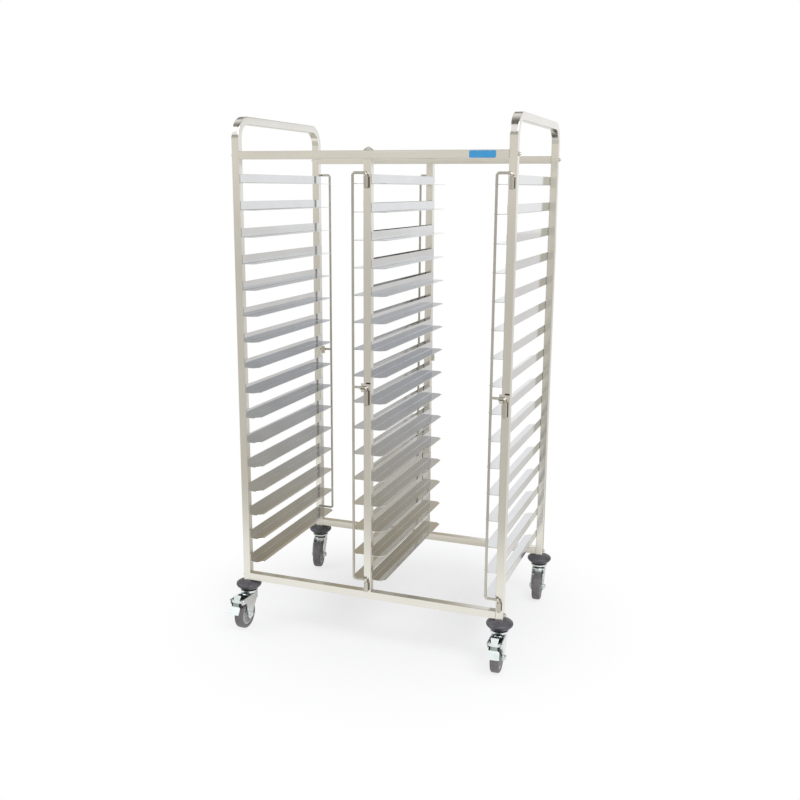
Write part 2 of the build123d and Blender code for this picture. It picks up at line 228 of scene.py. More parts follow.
bmesh.ops.create_grid(shape, x_segments=8, y_segments=8, size=30)
mesh = bpy.data.meshes.new("floor")
shape.to_mesh(mesh)
shape.free()
mesh.materials.append(floor_paint)
floor = bpy.data.objects.new("floor", mesh)
scene.collection.objects.link(floor)


# Side frames: one 25 mm square stainless tube each, bent to a U upside down, whose
# top is the push handle. The casters' stems stand in its two open feet.
tube_side = 25
tube_corner = 2.2
handle_top = 1710
tube_foot = 162
bend_radius = 57.5
upright_x, upright_y = 447.5, 297.5


def per_metre(size):
    """A texture's scale, for a pattern whose size is given in millimetres."""
    return 1000 / size


def blank_material(name, metallic=0):
    """A new material, and the node tree that its pattern goes into."""
    made = bpy.data.materials.new(name)
    made.use_nodes = True
    made.node_tree.nodes["Principled BSDF"].inputs["Metallic"].default_value = metallic
    return made, made.node_tree


def coat(tree, colour, sheen, roughness, relief, bump, depth=0.2, span=(0.3, 0.7)):
    """Gives the shader its colour, a roughness that follows the sheen's pattern over the
    span, and a relief of the given depth in millimetres."""
    shader = tree.nodes["Principled BSDF"]
    tree.links.new(colour, shader.inputs["Base Color"])
    rough = add(tree, "ShaderNodeMapRange", {
        "Value": sheen, "From Min": span[0], "From Max": span[1],
        "To Min": roughness[0], "To Max": roughness[1],
    })
    tree.links.new(rough.outputs[0], shader.inputs["Roughness"])
    raised = add(tree, "ShaderNodeBump", {
        "Height": relief, "Strength": bump, "Distance": depth / 1000,
    })
    tree.links.new(raised.outputs[0], shader.inputs["Normal"])


def metal(name, colours, roughness, grain, streaks, bump):
    """Polished, brushed or drawn metal, whose grain runs along the piece. Colours are the
    two shades of its streaks, and grain is how wide a streak is, in millimetres. Real
    scratches are under 0.1 mm wide, too fine to show, so they are drawn that much coarser."""
    streak_length = 83 * grain
    cloud = 143
    made, tree = blank_material(name, metallic=1)
    run = add(tree, "ShaderNodeUVMap", uv_map="run").outputs["UV"]
    stretched = add(tree, "ShaderNodeMapping", {
        "Vector": run, "Scale": (per_metre(streak_length), per_metre(grain), 1),
    })
    lines = add(tree, "ShaderNodeTexNoise", {
        "Vector": stretched.outputs[0], "Scale": 1, "Detail": 3, "Roughness": 0.6,
    })
    place = add(tree, "ShaderNodeTexCoord").outputs["Object"]
    clouds = add(tree, "ShaderNodeTexNoise", {
        "Vector": place, "Scale": per_metre(cloud), "Detail": 2, "Roughness": 0.5,
    })
    mixed = add(tree, "ShaderNodeMath", {
        0: lines.outputs[0], 1: streaks, 2: clouds.outputs[0],
    }, operation="MULTIPLY_ADD")
    shade = add(tree, "ShaderNodeMapRange", {
        "Value": mixed.outputs[0], "From Min": 0.3 + streaks * 0.35, "From Max": 0.7 + streaks * 0.65,
    })
    tone = add(tree, "ShaderNodeMix", {
        0: shade.outputs[0], 6: linear(colours[0]), 7: linear(colours[1]),
    }, data_type="RGBA")
    coat(tree, tone.outputs[2], lines.outputs[0], roughness, lines.outputs[0], bump)
    return made


def arc(centre, radius, first, last, steps):
    """Points of an arc, from its first angle to its last, in degrees."""
    angles = [math.radians(first + (last - first) * step / steps) for step in range(steps + 1)]
    return [(centre[0] + radius * math.cos(a), centre[1] + radius * math.sin(a)) for a in angles]


def rounded_rectangle(width, height, radius, steps=3):
    """The outline of a rectangle about its middle, with an arc at each corner."""
    points = []
    for turn, x, y in ((0, 1, 1), (90, -1, 1), (180, -1, -1), (270, 1, -1)):
        centre = (x * (width / 2 - radius), y * (height / 2 - radius))
        points += arc(centre, radius, turn, turn + 90, steps)
    return points


def sweep(shape, stations, capped=True):
    """Joins equal rings of points with faces. Each station is (ring, distance along)."""
    run = shape.loops.layers.uv.verify()
    rings, around = [], []
    for ring, distance in stations:
        rings.append([shape.verts.new(point) for point in ring])
    first = [Vector(point) for point in stations[0][0]]
    count = len(first)
    total = 0
    for index in range(count + 1):
        around.append(total)
        total += (first[(index + 1) % count] - first[index % count]).length
    for (low, high), (start, end) in zip(
        zip(rings, rings[1:]), zip(stations, stations[1:])
    ):
        for index in range(count):
            after = (index + 1) % count
            face = shape.faces.new((low[index], low[after], high[after], high[index]))
            places = (
                (start[1], around[index]), (start[1], around[index + 1]),
                (end[1], around[index + 1]), (end[1], around[index]),
            )
            for loop, place in zip(face.loops, places):
                loop[run].uv = (place[0] / 1000, place[1] / 1000)
    if capped:
        shape.faces.new(reversed(rings[0]))
        shape.faces.new(rings[-1])


def place_piece(name, shape, materials, body, slot, *nodes, crease=30):
    """Turns a shape in millimetres into a piece that rides on its body. Materials is one
    material, or a list of those that the shape's faces choose from. Flat faces mirror as
    flat: the roundings beside them don't bend their shading."""
    bmesh.ops.recalc_face_normals(shape, faces=shape.faces)
    mesh = bpy.data.meshes.new(name)
    shape.transform(Matrix.Scale(0.001, 4))
    for face in shape.faces:
        face.smooth = True
    shape.to_mesh(mesh)
    shape.free()
    mesh.set_sharp_from_angle(angle=math.radians(crease))
    for material in materials if isinstance(materials, list) else [materials]:
        mesh.materials.append(material)
    if mesh.uv_layers:
        mesh.uv_layers[0].name = "run"
    made = bpy.data.objects.new(name, mesh)
    scene.collection.objects.link(made)
    flats = made.modifiers.new("flats", "WEIGHTED_NORMAL")
    flats.keep_sharp = True
    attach(made, body)
    if nodes:
        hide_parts(*nodes)
    return made


# Stainless tube, ground and polished: a warm, soft mirror with faint streaks along it.
polished_tube = metal("stainless_tube_polished", ("#e3e0d9", "#e7e6e1"), (0.13, 0.2), 4, 0.5, 0.15)
tube_ring = rounded_rectangle(tube_side, tube_side, tube_corner)
for side, x in (("left", -upright_x), ("right", upright_x)):
    handle_z = handle_top - tube_side / 2
    line = [(-upright_y, tube_foot, 0)]
    for turn in range(0, 91, 6):
        angle = math.radians(turn)
        line.append((
            -upright_y + bend_radius - bend_radius * math.cos(angle),
            handle_z - bend_radius + bend_radius * math.sin(angle),
            turn,
        ))
    line += [(-y, z, 180 - turn) for y, z, turn in reversed(line)]
    stations, distance = [], 0
    for index, (y, z, turn) in enumerate(line):
        if index:
            before = line[index - 1]
            distance += math.hypot(y - before[0], z - before[1])
        out = (-math.cos(math.radians(turn)), math.sin(math.radians(turn)))
        stations.append((
            [(x + across, y + outward * out[0], z + outward * out[1]) for across, outward in tube_ring],
            distance,
        ))
    shape = bmesh.new()
    sweep(shape, stations)
    place_piece(f"{side}_side_tube", shape, polished_tube, "frame", "stainless_tube", f"{side}_side_frame")

# Rails: four lengths of the same square tube between the side frames, butted
# against them and held from outside by a screw with an acorn nut. The mirror of a rail
# runs almost to its edges, so its corner is drawn tighter than an upright's.
rail_half = 435
bottom_rail_z, top_rail_z = 177.5, 1589
rail_ring = rounded_rectangle(tube_side, tube_side, 0.9)


def straight_tube(name, ring, start, end, node):
    """A length of the polished tube, whose cross-section is the ring."""
    start, end = Vector(start), Vector(end)
    along = (end - start).normalized()
    across = Vector((0, 1, 0))
    upward = along.cross(across)
    shape = bmesh.new()
    length = (end - start).length
    sweep(shape, [
        ([start + along * distance + across * a + upward * b for a, b in ring], distance)
        for distance in (0, length)
    ])
    place_piece(name, shape, polished_tube, "frame", "stainless_tube", node)


for side, y in (("front", -upright_y), ("rear", upright_y)):
    for level, z in (("bottom", bottom_rail_z), ("top", top_rail_z)):
        straight_tube(
            f"{side}_{level}_rail_tube", rail_ring, (-rail_half, y, z), (rail_half, y, z),
            f"{side}_{level}_rail",
        )

# Mid uprights: two lengths of the same tube, polished as the rest, which stand on the
# bottom rails and reach to the top ones. They carry the two middle rows of runners.
for side, y in (("front", -upright_y), ("rear", upright_y)):
    straight_tube(
        f"{side}_mid_tube", tube_ring, (0, y, bottom_rail_z + tube_side / 2),
        (0, y, top_rail_z - tube_side / 2), f"{side}_mid_upright",
    )

# Tray runners: 1.5 mm stainless sheet folded to an angle, corners cropped, welded by
# their webs to the uprights. A tray slides in on the flanges of two of them.
sheet = 1.5
web, flange = 28.5, 45
fold_radius = 2.5
edge_round = 0.4
runner_half = 305
crop = 15
lowest_runner, runner_pitch, runner_levels = 230, 84.9, 16
# Stainless sheet, bright annealed: a cooler and clearer mirror than the tube.
bright_sheet = metal("stainless_sheet_bright_annealed", ("#d8d9da", "#e0e1e3"), (0.07, 0.13), 6, 0.3, 0.06)
# The sheared edge is dull, and painted pale as a highlight, so that it shows as a fine bright line.
sheared_edge_highlight = metal("stainless_edge_sheared_painted_highlight", ("#eeeeec", "#f8f8f7"), (0.3, 0.4), 2, 0.4, 0.2)


def folded_angle(width):
    """The angle's outline, from the web's top round the fold to the flange's tip."""
    centre = (fold_radius, fold_radius)
    outer = arc(centre, fold_radius, 180, 270, 4)
    inner = arc(centre, fold_radius - sheet, 180, 270, 4)
    flange_tip = [
        (width - edge_round, 0), (width, edge_round),
        (width, sheet - edge_round), (width - edge_round, sheet),
    ]
    web_top = [(sheet, web - edge_round), (sheet - edge_round, web), (edge_round, web)]
    return [(0, web - edge_round), *outer, *flange_tip, *reversed(inner), *web_top]


for row, face_x, inward in (
    ("left", -435, 1), ("mid_left", -12.5, -1), ("mid_right", 12.5, 1), ("right", 435, -1),
):
    shape = bmesh.new()
    for level in range(runner_levels):
        foot_z = lowest_runner + level * runner_pitch
        sweep(shape, [
            ([(face_x + inward * a, y, foot_z + b) for a, b in folded_angle(width)], y)
            for y, width in (
                (-runner_half, flange - crop), (crop - runner_half, flange),
                (runner_half - crop, flange), (runner_half, flange - crop),
            )
        ])
    for face in shape.faces:
        middle = face.calc_center_median()
        above_foot = (middle.z - lowest_runner) % runner_pitch
        on_web_top = above_foot > web - edge_round - 0.1
        along_side = len(face.verts) == 4 and abs(middle.y) < runner_half - crop
        on_flange_tip = along_side and abs(middle.x - face_x) > flange - edge_round - 0.1
        # Web tops and flange tips take the pale edge: a painted highlight.
        if on_web_top or on_flange_tip:
            face.material_index = 1
    place_piece(
        f"{row}_folded_runners", shape, [bright_sheet, sheared_edge_highlight],
        "frame", "stainless_sheet", f"{row}_runners",
    )


# Acorn nuts: the rails' screws end in domed nuts on washers, outside the side frames,
# and a low conical cap stands on each top rail over its mid upright. All are stainless.
def level_ring(shape, radius, height, count, place):
    """Adds the points of a circle round the Z axis, and puts them in their place."""
    return [
        shape.verts.new(place @ Vector((x, y, height)))
        for x, y in arc((0, 0), radius, 0, 360, count)[:-1]
    ]


def lathe(shape, profile, segments=48, place=Matrix.Identity(4), closed=False):
    """Turns a profile of (radius, height) round the Z axis, then puts it in its place."""
    rows = []
    for radius, height in profile:
        rows.append(level_ring(shape, radius, height, segments if radius else 1, place))
    pairs = list(zip(rows, rows[1:]))
    if closed:
        pairs.append((rows[-1], rows[0]))
    for low, high in pairs:
        for step in range(segments):
            after = (step + 1) % segments
            if len(low) == 1:
                shape.faces.new((low[0], high[after], high[step]))
            elif len(high) == 1:
                shape.faces.new((low[step], low[after], high[0]))
            else:
                shape.faces.new((low[step], low[after], high[after], high[step]))


def join_rings(shape, rings):
    """Joins rings of points with faces, and closes the first and the last."""
    for low, high in zip(rings, rings[1:]):
        for index in range(len(low)):
            after = (index + 1) % len(low)
            shape.faces.new((low[index], low[after], high[after], high[index]))
    shape.faces.new(reversed(rings[0]))
    shape.faces.new(rings[-1])


def hexagon_nut(shape, across_flats, low, high, place, chamfer=0.7):
    """A hexagonal prism whose outer corners are turned off at its high end."""
    corner = across_flats / math.sqrt(3)
    profile = ((corner, low), (corner, high - chamfer), (corner - 1.2 * chamfer, high))
    join_rings(shape, [level_ring(shape, radius, height, 6, place) for radius, height in profile])


def dome(radius, low, steps=6):
    """The profile of half a ball that stands on the height low."""
    return arc((0, low), radius, 0, 90, steps)[:-1] + [(0, low + radius)]


washer_radius, washer_thickness, washer_edge = 6.5, 1, 0.4
acorn_flats, acorn_base, acorn_dome = 10, 3, 4.4
# Stainless fasteners, tumbled: small soft highlights, a little duller than the tube.
bright_fastener = metal("stainless_fastener_tumbled", ("#c9c6bd", "#dedbd2"), (0.18, 0.28), 3, 0.3, 0.1)
nuts = bmesh.new()
for side, turn in ((-1, -90), (1, 90)):
    for y in (-upright_y, upright_y):
        for z in (bottom_rail_z, top_rail_z):
            place = Matrix.Translation((side * (upright_x + tube_side / 2), y, z)) @ Matrix.Rotation(
                math.radians(turn), 4, "Y"
            )
            lathe(nuts, [
                (0, 0), (washer_radius, 0), (washer_radius, washer_thickness - washer_edge),
                (washer_radius - washer_edge, washer_thickness), (0, washer_thickness),
            ], 32, place)
            base_top = washer_thickness + acorn_base
            hexagon_nut(nuts, acorn_flats, washer_thickness, base_top, place)
            lathe(nuts, [(0, base_top - 0.4), *dome(acorn_dome, base_top - 0.4)], 24, place)
for y in (-upright_y, upright_y):
    place = Matrix.Translation((0, y, top_rail_z + tube_side / 2))
    lathe(nuts, [
        (0, 0), (15.6, 0), (16, 0.5), (16, 1.6), (15, 2.6), (8.5, 6.6), (4, 9.8), (2, 10.7), (0, 11),
    ], 40, place)
place_piece("rail_acorn_nuts", nuts, bright_fastener, "frame", "stainless_tube")

# Plate: a small blank plate of blue enamelled aluminium, glued to the front top rail.
# Its rim stands a little proud of its field.
plate_middle, plate_width, plate_height, plate_corner = 357, 80, 21, 4
# Fired enamel: an even, slightly mottled blue, glossy with a faint orange peel.
mottle_size, peel_size = 5.5, 1.1
enamel, tree = blank_material("blue_enamel_fired")
place = add(tree, "ShaderNodeTexCoord").outputs["Object"]
mottle = add(tree, "ShaderNodeTexNoise", {"Vector": place, "Scale": per_metre(mottle_size), "Detail": 3})
tone = add(tree, "ShaderNodeMix", {
    0: mottle.outputs[0], 6: linear("#2f8cc6"), 7: linear("#48a0d4"),
}, data_type="RGBA")
orange_peel = add(tree, "ShaderNodeTexNoise", {"Vector": place, "Scale": per_metre(peel_size), "Detail": 1})
coat(
    tree, tone.outputs[2], mottle.outputs[0], (0.18, 0.3), orange_peel.outputs[0], bump=0.1, span=(0, 1),
)
plate = bmesh.new()
rings = []
face_y = -upright_y - tube_side / 2
for inset, proud in ((0, 0), (0, 0.6), (0.3, 0.9), (1.4, 0.9), (1.9, 0.5)):
    outline = rounded_rectangle(
        plate_width - 2 * inset, plate_height - 2 * inset, plate_corner - inset / 2,
    )
    rings.append([
        plate.verts.new((plate_middle + a, face_y - proud, top_rail_z + b)) for a, b in outline
    ])
join_rings(plate, rings)
place_piece("blank_plate", plate, enamel, "frame", "stainless_tube")

# Hinge barrels: short stainless tubes in which the rods turn, three on each rod's
# upright. Each stands on a weld bead, and one more bead holds the top of its keeper.
# A hinge's place is its axis and its turn in degrees, half a turn at the rear.
hinge_places = {
    "front_mid": (0, -318, 0), "front_right": (447.5, -318, 0),
    "rear_left": (-447.5, 318, 180), "rear_mid": (0, 318, 180),
}
barrel_spans = ((194, 224), (820, 868), (1492, 1526))
barrel_radius, bore_radius = 7, 4.06
outer_edge, bore_edge = 0.7, 0.5
bead_count, bead_swell = 12, 0.5
# Weld metal, tinted by its heat: brown, dull and uneven, and widened as painted shadow: its dark line
# beside the bright tube stands for each barrel's shadow.
weld_tint_and_shadow = metal("stainless_weld_heat_tint_and_painted_shadow", ("#2e241c", "#5e4e40"), (0.35, 0.55), 2, 0.6, 0.4)
# Drawn wire: greyer and duller than the tube, with fine lines along it.
drawn_wire = metal("stainless_wire_drawn", ("#b9b5ab", "#cfccc3"), (0.3, 0.42), 2.5, 0.5, 0.12)


def slab(shape, outline, low, high, place=Matrix.Identity(4)):
    """A flat outline of (x, y) points given thickness along Z, then put in its place."""
    lower = [shape.verts.new(place @ Vector((x, y, low))) for x, y in outline]
    upper = [shape.verts.new(place @ Vector((x, y, high))) for x, y in outline]
    join_rings(shape, [lower, upper])


def hinge_matrix(name):
    """The hinge's own axes: Z is its pin, and Y points to the upright."""
    x, y, turn = hinge_places[name]
    return Matrix.Translation((x, y, 0)) @ Matrix.Rotation(math.radians(turn), 4, "Z")


for name in hinge_places:
    place = hinge_matrix(name)
    barrels, welds = bmesh.new(), bmesh.new()
    for low, high in barrel_spans:
        lathe(barrels, [
            (bore_radius, low + bore_edge), (bore_radius + bore_edge, low),
            (barrel_radius - outer_edge, low), (barrel_radius, low + outer_edge),
            (barrel_radius, high - outer_edge), (barrel_radius - outer_edge, high),
            (bore_radius + bore_edge, high), (bore_radius, high - bore_edge),
        ], 32, place, closed=True)
        rows = []
        for step in range(2 * bead_count + 1):
            z = low + 1.5 + (high - low - 3) * step / (2 * bead_count)
            swell = bead_swell if step % 2 else 0
            half = [(3.6, 5.2), (5.2 + swell, 6.2), (6.8 + swell, 7.3), (7.8 + swell, 8)]
            rows.append([
                welds.verts.new(place @ Vector((a, b, z)))
                for a, b in [(-a, b) for a, b in reversed(half)] + half
            ])
        join_rings(welds, rows)
    keeper_bead = place @ Matrix.Translation((4.5, 5.8, 0))
    slab(welds, rounded_rectangle(15, 4.4, 1.6), 889, 892.5, keeper_bead)
    place_piece(
        f"{name}_hinge_barrels", barrels, drawn_wire, "frame", "stainless_wire", f"{name}_rod_barrels",
    )
    place_piece(f"{name}_hinge_welds_painted_shadow", welds, weld_tint_and_shadow, "frame", "stainless_wire", crease=50)


# Keepers: a bent stainless plate beside each middle barrel. Its back is welded to the
# upright, and its ledge holds the rod's middle arm.
keeper_side, keeper_near, plate_side = -20, -6, 9


def soften(shape, width, segments=2, sharper=35):
    """Rounds the shape's sharp edges, as a deburred or moulded edge is."""
    edges = [
        edge for edge in shape.edges
        if edge.is_manifold and edge.calc_face_angle(0) > math.radians(sharper)
    ]
    bmesh.ops.bevel(
        shape, geom=edges, offset=width, segments=segments, affect="EDGES", clamp_overlap=True,
        profile=0.5,
    )


def add_softened(whole, shape, width):
    """Rounds the edges of one closed shape, and adds it to the whole piece."""
    bmesh.ops.recalc_face_normals(shape, faces=shape.faces)
    soften(shape, width)
    mesh = bpy.data.meshes.new("softened")
    shape.to_mesh(mesh)
    shape.free()
    whole.from_mesh(mesh)
    bpy.data.meshes.remove(mesh)


# The plate is drawn in the hinge's Y and Z, and has its width along X.
upright_plane = Matrix(((0, 0, 1, 0), (1, 0, 0, 0), (0, 1, 0, 0), (0, 0, 0, 1)))
keepers = bmesh.new()
for name in hinge_places:
    keeper = bmesh.new()
    place = hinge_matrix(name) @ upright_plane
    profile = [
        (8, 862), (8, 890), (5, 890), (5, 875.2), (4.6, 874.2), (3.6, 873.7), (-5, 873.7), (-6, 872.7),
        (-6, 871.2), (-5.5, 870.7), (3.5, 870.7), (4.6, 870.2), (5, 869.2), (5, 862),
    ]
    slab(keeper, profile, keeper_side, keeper_near, place)
    slab(keeper, [(5.4, 872), (8, 872), (8, 890), (5.4, 890)], keeper_near - 0.2, plate_side, place)
    add_softened(keepers, keeper, 0.5)
place_piece("rod_keeper_plates", keepers, polished_tube, "frame", "stainless_wire", "rod_keepers")

# Retaining rods: 8 mm drawn stainless wire bent to a long handle shape with three
# arms, whose ends turn down into the barrels. They keep the trays from sliding out.
wire_radius = 4
arm_reach = 44
rod_bend = 7.5
low_arm, middle_arm, high_arm = 234, 878, 1536
low_pin_end, middle_pin_end, high_pin_end = 192, 818, 1490


def rounded(points, radius, steps=8):
    """The line through the points, with an arc of the given radius at each corner."""
    line = [Vector(points[0])]
    for before, corner, after in zip(points, points[1:], points[2:]):
        before, corner, after = Vector(before), Vector(corner), Vector(after)
        back, on = (before - corner).normalized(), (after - corner).normalized()
        half = math.acos(max(-1, min(1, back.dot(on)))) / 2
        reach = radius / math.tan(half)
        centre = corner + (back + on).normalized() * (radius / math.sin(half))
        start, end = corner + back * reach - centre, corner + on * reach - centre
        for step in range(steps + 1):
            line.append(centre + start.slerp(end, step / steps).normalized() * radius)
    line.append(Vector(points[-1]))
    return line


def wire(shape, line, radius, place):
    """A round wire along a line of (x, z) points, with slightly rounded ends."""
    stations, distance = [], 0
    for index, point in enumerate(line):
        before, after = line[max(index - 1, 0)], line[min(index + 1, len(line) - 1)]
        along = (after - before).normalized()
        if index:
            distance += (point - before).length
        ends = [(0, 1)]
        if index == 0:
            ends = [(0, 0.7), (0.5, 0.93), (1.2, 1)]
        elif index == len(line) - 1:
            ends = [(-1.2, 1), (-0.5, 0.93), (0, 0.7)]
        for shift, share in ends:
            centre = point + along * shift
            stations.append(([
                place @ Vector((centre.x - along.y * a, b, centre.y + along.x * a))
                for a, b in arc((0, 0), radius * share, 0, 360, 16)[:-1]
            ], distance + shift))
    sweep(shape, stations)


for name in hinge_places:
    # The rear mid rod stands open, so its arms lie the other way from its keeper.
    place = hinge_matrix(name)
    if name == "rear_mid":
        place = place @ Matrix.Rotation(math.pi, 4, "Z")
    shape = bmesh.new()
    wire(shape, rounded([
        (0, low_pin_end), (0, low_arm), (-arm_reach, low_arm), (-arm_reach, high_arm), (0, high_arm),
        (0, high_pin_end),
    ], rod_bend), wire_radius, place)
    wire(shape, rounded([
        (0, middle_pin_end), (0, middle_arm), (-arm_reach, middle_arm),
    ], rod_bend), wire_radius, place)
    place_piece(
        f"{name}_bent_rod", shape, drawn_wire, f"{name}_rod", "stainless_wire",
        f"{name}_retaining_rod", crease=40,
    )


# Corner bumpers: moulded rubber saucers on the casters' stems, round and a little wider
# than the frame, so that they meet a wall first.
def rubber(name, colours, roughness, grain, bump):
    """Moulded rubber or plastic. Colours are its clean and its dusty shade, and grain is
    the size of its moulding texture in millimetres, drawn coarser than it is to show."""
    dust_patch = 22
    made, tree = blank_material(name)
    place = add(tree, "ShaderNodeTexCoord").outputs["Object"]
    dust = add(tree, "ShaderNodeTexNoise", {
        "Vector": place, "Scale": per_metre(dust_patch), "Detail": 4, "Roughness": 0.65,
    })
    pores = add(tree, "ShaderNodeTexNoise", {"Vector": place, "Scale": per_metre(grain), "Detail": 2})
    shade = add(tree, "ShaderNodeMapRange", {"Value": dust.outputs[0], "From Min": 0.35, "From Max": 0.7})
    tone = add(tree, "ShaderNodeMix", {
        0: shade.outputs[0], 6: linear(colours[0]), 7: linear(colours[1]),
    }, data_type="RGBA")
    coat(tree, tone.outputs[2], dust.outputs[0], roughness, pores.outputs[0], bump, depth=0.3)
    return made


# Moulded black rubber: a satin charcoal, with broad soft highlights.
bumper_rubber = rubber("bumper_rubber_moulded", ("#4f4d52", "#605e63"), (0.3, 0.44), 1.2, 0.25)
# A caster's place is its kingpin, and its turn in degrees as it stands.
casters = {
    "front_left": (-upright_x, -upright_y, 0), "front_right": (upright_x, -upright_y, 4),
    "rear_left": (-upright_x, upright_y, 12), "rear_right": (upright_x, upright_y, 5),
}
bumpers = bmesh.new()
for x, y, _ in casters.values():
    lathe(bumpers, [
        (0, 127), (20.6, 127), (21.6, 127.4), (22, 128.2), (24.5, 129.6), (30, 132.2), (36, 136.4),
        (40.4, 140.6), (42.4, 143.4), (43.2, 146), (43.2, 148.4), (42.2, 151), (39, 154), (33, 157.2),
        (26, 160), (21, 161.6), (19.4, 162), (0, 162),
    ], 64, Matrix.Translation((x, y, 0)))
place_piece("rubber_saucers", bumpers, bumper_rubber, "frame", "bumper_rubber", "corner_bumpers", crease=40)


# Caster heads: a zinc-plated disc over the ball race, with the kingpin's nut below. The
# square stem stands in an expander of hard rubber, which grips the tube from inside.
disc_radius, disc_top = 29, 127
race_radius, race_foot = 22, 115.4
kingpin_radius, kingpin_flats = 8, 24
braked_disc_low, plain_disc_low = 119.5, 121


def zinc(name, colours, roughness):
    """Zinc-plated steel. Colours are the three shades of its clouds. Its crystal grain is
    too fine to show, so it is drawn 1.4 mm wide."""
    cloud, crystal = 26, 1.4
    made, tree = blank_material(name, metallic=1)
    place = add(tree, "ShaderNodeTexCoord").outputs["Object"]
    clouds = add(tree, "ShaderNodeTexNoise", {
        "Vector": place, "Scale": per_metre(cloud), "Detail": 3, "Roughness": 0.6,
    })
    grains = add(tree, "ShaderNodeTexNoise", {"Vector": place, "Scale": per_metre(crystal), "Detail": 2})
    tone = add(tree, "ShaderNodeValToRGB", {"Fac": clouds.outputs[0]}, stops=(
        (0.3, colours[0]), (0.5, colours[1]), (0.7, colours[2]),
    ))
    coat(tree, tone.outputs[0], clouds.outputs[0], roughness, grains.outputs[0], bump=0.12)
    return made


# Bright zinc plate: bluish white and half glossy, clouded with pale green and rose.
bright_zinc = zinc("steel_zinc_plated_bright", ("#d3e4de", "#e4e9ec", "#e0dde6"), (0.26, 0.4))
# Moulded nitrile rubber: matt black, a dark ring under the bright disc, whose black also paints the shade
# in the gap there.
seal_gap_shade = rubber("nitrile_seal_and_painted_gap_shade", ("#1d1d1f", "#29292b"), (0.4, 0.55), 0.8, 0.2)
heads, seals = bmesh.new(), bmesh.new()
for name, (x, y, _) in casters.items():
    place = Matrix.Translation((x, y, 0))
    disc_low = braked_disc_low if name.startswith("front") else plain_disc_low
    lathe(heads, [
        (0, disc_low), (disc_radius - 0.8, disc_low), (disc_radius - 0.2, disc_low + 0.2),
        (disc_radius, disc_low + 0.7), (disc_radius, disc_top - 0.7),
        (disc_radius - 0.2, disc_top - 0.2), (disc_radius - 0.8, disc_top), (0, disc_top),
    ], 64, place)
    lathe(seals, [
        (0, race_foot), (race_radius - 1, race_foot), (race_radius, race_foot + 0.8),
        (race_radius, disc_low - 0.6), (race_radius - 0.5, disc_low), (0, disc_low),
    ], 64, place)
    lathe(heads, [(0, 111), (kingpin_radius, 111), (kingpin_radius, 116), (0, 116)], 32, place)
    upside_down = place @ Matrix.Rotation(math.pi, 4, "X")
    hexagon_nut(heads, kingpin_flats, -111.7, -107.2, upside_down)
place_piece("caster_head_discs", heads, bright_zinc, "frame", "zinc_plate", "caster_heads")
place_piece("ball_race_seals_gap_shade", seals, seal_gap_shade, "frame", "bumper_rubber", "caster_heads")
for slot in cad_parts["stem_expanders"].material_slots:
    slot.material = seal_gap_shade

# Forks: pressed from 3 mm steel sheet and zinc-plated. Two legs hang from a crown that
# is round behind. The braked ones reach forward as ears, the plain ones close in front.
leg_inner, leg_outer = 20, 23
crown_high, crown_low, crown_bend = 115, 112, 5
skirt_inner, skirt_outer, skirt_low = 26, 29, 92
# From this far behind the kingpin, the crown's sides follow the skirt's round.
round_from = 17.66
caster_trail, axle_height = 35, 50
boss_radius = 15


def caster_matrix(name):
    """The caster's own axes: Z is its kingpin, and its wheel trails along -Y."""
    x, y, turn = casters[name]
    return Matrix.Translation((x, y, 0)) @ Matrix.Rotation(math.radians(turn), 4, "Z")


def combine(first, second, operation):
    """Joins or cuts two closed shapes, and leaves one."""
    pieces = []
    for shape in (first, second):
        mesh = bpy.data.meshes.new("working")
        bmesh.ops.recalc_face_normals(shape, faces=shape.faces)
        shape.to_mesh(mesh)
        shape.free()
        piece = bpy.data.objects.new("working", mesh)
        scene.collection.objects.link(piece)
        pieces.append(piece)
    step = pieces[0].modifiers.new("step", "BOOLEAN")
    step.object = pieces[1]
    step.operation = operation
    step.solver = "EXACT"
    made = bmesh.new()
    made.from_object(pieces[0], bpy.context.evaluated_depsgraph_get())
    for piece in pieces:
        mesh = piece.data
        bpy.data.objects.remove(piece)
        bpy.data.meshes.remove(mesh)
    return made


# Side outlines are drawn as (distance along the trail, height), and stand across X.
across_fork = Matrix(((0, 0, 1, 0), (-1, 0, 0, 0), (0, 1, 0, 0), (0, 0, 0, 1)))


